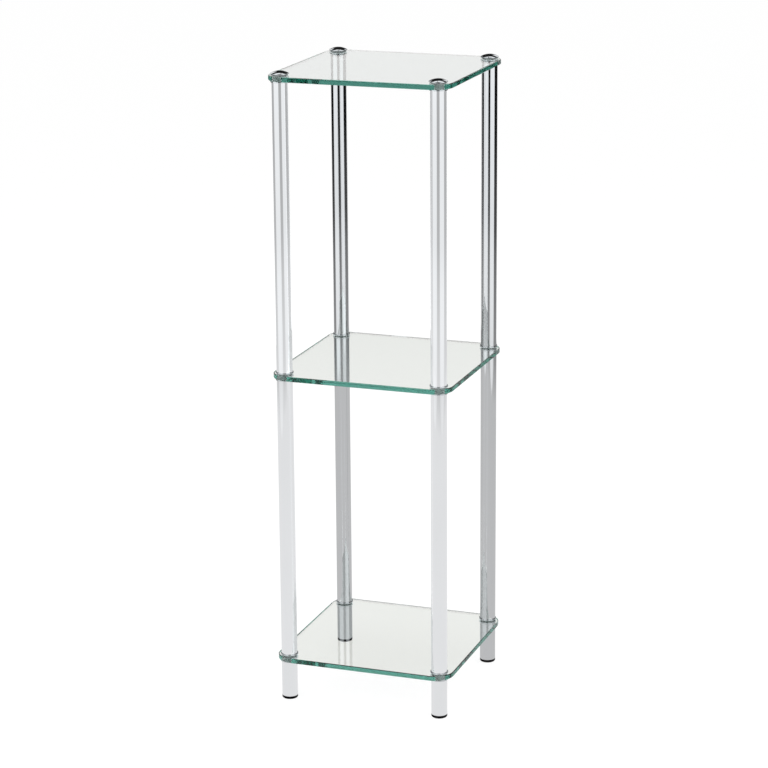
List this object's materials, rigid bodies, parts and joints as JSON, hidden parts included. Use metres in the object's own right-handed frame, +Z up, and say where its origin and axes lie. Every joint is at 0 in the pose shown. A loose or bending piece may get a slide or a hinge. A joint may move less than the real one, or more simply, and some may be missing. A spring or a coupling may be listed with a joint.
{
  "type": "glass shelving unit",
  "caption": "Square free-standing shelf tower of clear tempered glass sheets with rounded corners, clamped between chromed tube posts that end in dome caps and black glides.",
  "frame": {"origin": "middle of the footprint, on the floor under the four glides", "axes": "+Z up along the posts, -Y towards the front, +X to the right"},
  "size_m": [0.29, 0.29, 1.0016],
  "materials": {
    "glass": "clear tempered float glass with a green tint in the thickness and polished edges",
    "chrome_tube": "polished chrome plate on steel tube",
    "chrome_fitting": "polished chrome plate on cast fittings",
    "glide_plastic": "moulded black polyethylene",
    "clear_plastic": "clear soft plastic",
    "insert_zinc": "plain zinc casting",
    "stud_steel": "bright zinc plated steel"
  },
  "bodies": {
    "root": {"top_shelf": "glass", "middle_shelf": "glass", "bottom_shelf": "glass", "upper_tube_front_left": "chrome_tube", "upper_tube_front_right": "chrome_tube", "upper_tube_back_left": "chrome_tube", "upper_tube_back_right": "chrome_tube", "lower_tube_front_left": "chrome_tube", "lower_tube_front_right": "chrome_tube", "lower_tube_back_left": "chrome_tube", "lower_tube_back_right": "chrome_tube", "foot_tube_front_left": "chrome_tube", "foot_tube_front_right": "chrome_tube", "foot_tube_back_left": "chrome_tube", "foot_tube_back_right": "chrome_tube", "top_cap_front_left": "chrome_fitting", "top_cap_front_right": "chrome_fitting", "top_cap_back_left": "chrome_fitting", "top_cap_back_right": "chrome_fitting", "foot_glide_front_left": "glide_plastic", "foot_glide_front_right": "glide_plastic", "foot_glide_back_left": "glide_plastic", "foot_glide_back_right": "glide_plastic", "collars_under_top_shelf": "chrome_fitting", "collars_over_middle_shelf": "chrome_fitting", "collars_under_middle_shelf": "chrome_fitting", "collars_over_bottom_shelf": "chrome_fitting", "collars_under_bottom_shelf": "chrome_fitting", "grommets_over_top_shelf": "clear_plastic", "grommets_under_top_shelf": "clear_plastic", "grommets_over_middle_shelf": "clear_plastic", "grommets_under_middle_shelf": "clear_plastic", "grommets_over_bottom_shelf": "clear_plastic", "grommets_under_bottom_shelf": "clear_plastic", "inserts_upper_tube_top": "insert_zinc", "inserts_upper_tube_bottom": "insert_zinc", "inserts_lower_tube_top": "insert_zinc", "inserts_lower_tube_bottom": "insert_zinc", "inserts_foot_tube_top": "insert_zinc", "studs_middle_shelf": "stud_steel", "studs_bottom_shelf": "stud_steel"}
  },
  "joints": []
}
